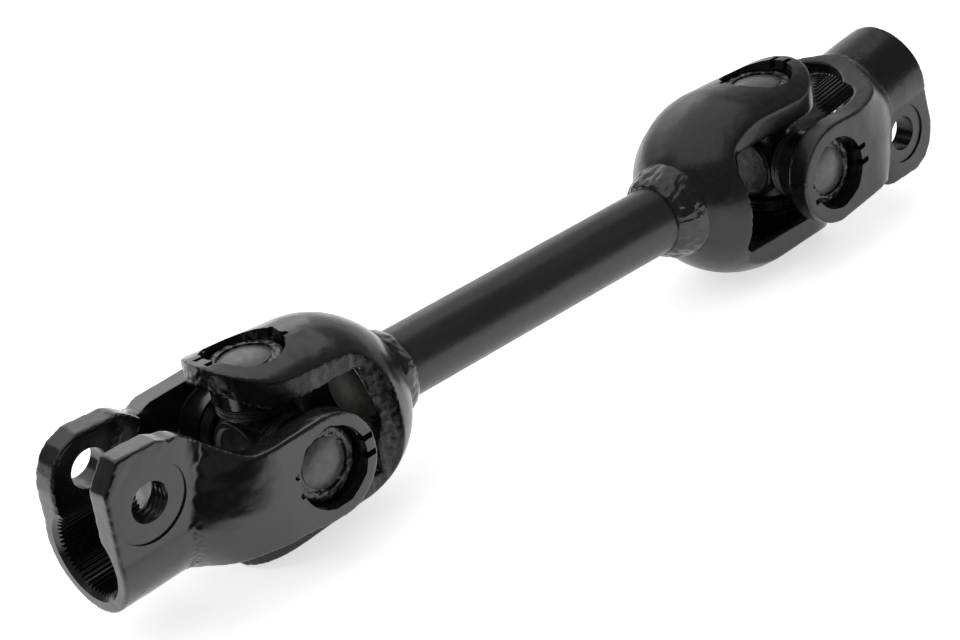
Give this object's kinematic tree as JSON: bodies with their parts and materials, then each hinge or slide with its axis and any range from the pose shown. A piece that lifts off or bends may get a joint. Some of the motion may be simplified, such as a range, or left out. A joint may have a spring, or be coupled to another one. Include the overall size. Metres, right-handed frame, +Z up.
{
  "type": "intermediate steering shaft",
  "caption": "Steering shaft with a universal joint and a splined clamp yoke at each end, which joins a steering column to a steering gear.",
  "frame": {"origin": "midway between the two joint centres, on the shaft's axis; the part's centroid lies within 1 mm of it", "axes": "+X along the shaft from end a to end b, +Z up along the inner yokes' arms, -Y towards the side with the threaded pinch hole of end a"},
  "size_m": [0.2399, 0.043, 0.0436],
  "materials": {
    "satin_black_shaft": "satin black paint on drawn bar",
    "gloss_black_paint": "dipped gloss black paint with runs over pressed steel",
    "painted_weld": "gloss black paint over a rippled weld",
    "painted_cup_steel": "thin black paint on ground steel",
    "dark_forged_steel": "dark phosphated forging",
    "bearing_steel": "ground and hardened",
    "black_rubber": "matte moulded",
    "white_nylon": "natural moulded"
  },
  "bodies": {
    "shaft": {"shaft": "satin_black_shaft", "weld_bead_a": "painted_weld", "inner_yoke_a": "gloss_black_paint", "bearing_cup_a_top": "painted_cup_steel", "needles_a_top": "bearing_steel", "seal_a_top": "black_rubber", "thrust_pad_a_top": "white_nylon", "bearing_cup_a_bottom": "painted_cup_steel", "needles_a_bottom": "bearing_steel", "seal_a_bottom": "black_rubber", "thrust_pad_a_bottom": "white_nylon", "weld_bead_b": "painted_weld", "inner_yoke_b": "gloss_black_paint", "bearing_cup_b_top": "painted_cup_steel", "needles_b_top": "bearing_steel", "seal_b_top": "black_rubber", "thrust_pad_b_top": "white_nylon", "bearing_cup_b_bottom": "painted_cup_steel", "needles_b_bottom": "bearing_steel", "seal_b_bottom": "black_rubber", "thrust_pad_b_bottom": "white_nylon"},
    "cross_a": {"cross_a": "dark_forged_steel"},
    "end_yoke_a": {"end_yoke_a": "gloss_black_paint", "bearing_cup_a_near": "painted_cup_steel", "needles_a_near": "bearing_steel", "seal_a_near": "black_rubber", "thrust_pad_a_near": "white_nylon", "bearing_cup_a_far": "painted_cup_steel", "needles_a_far": "bearing_steel", "seal_a_far": "black_rubber", "thrust_pad_a_far": "white_nylon"},
    "cross_b": {"cross_b": "dark_forged_steel"},
    "end_yoke_b": {"end_yoke_b": "gloss_black_paint", "bearing_cup_b_near": "painted_cup_steel", "needles_b_near": "bearing_steel", "seal_b_near": "black_rubber", "thrust_pad_b_near": "white_nylon", "bearing_cup_b_far": "painted_cup_steel", "needles_b_far": "bearing_steel", "seal_b_far": "black_rubber", "thrust_pad_b_far": "white_nylon"}
  },
  "joints": [
    {"name": "cross_a_turn", "type": "hinge", "parent": "shaft", "child": "cross_a", "pos_m": [-0.0755, 0, 0], "axis": [0, 0, 1], "range_deg": [-22, 22]},
    {"name": "yoke_a_tilt", "type": "hinge", "parent": "cross_a", "child": "end_yoke_a", "pos_m": [-0.0755, 0, 0], "axis": [0, 1, 0], "range_deg": [-30, 30]},
    {"name": "cross_b_turn", "type": "hinge", "parent": "shaft", "child": "cross_b", "pos_m": [0.0755, 0, 0], "axis": [0, 0, 1], "range_deg": [-22, 22]},
    {"name": "yoke_b_tilt", "type": "hinge", "parent": "cross_b", "child": "end_yoke_b", "pos_m": [0.0755, 0, 0], "axis": [0, 1, 0], "range_deg": [-30, 30]}
  ]
}
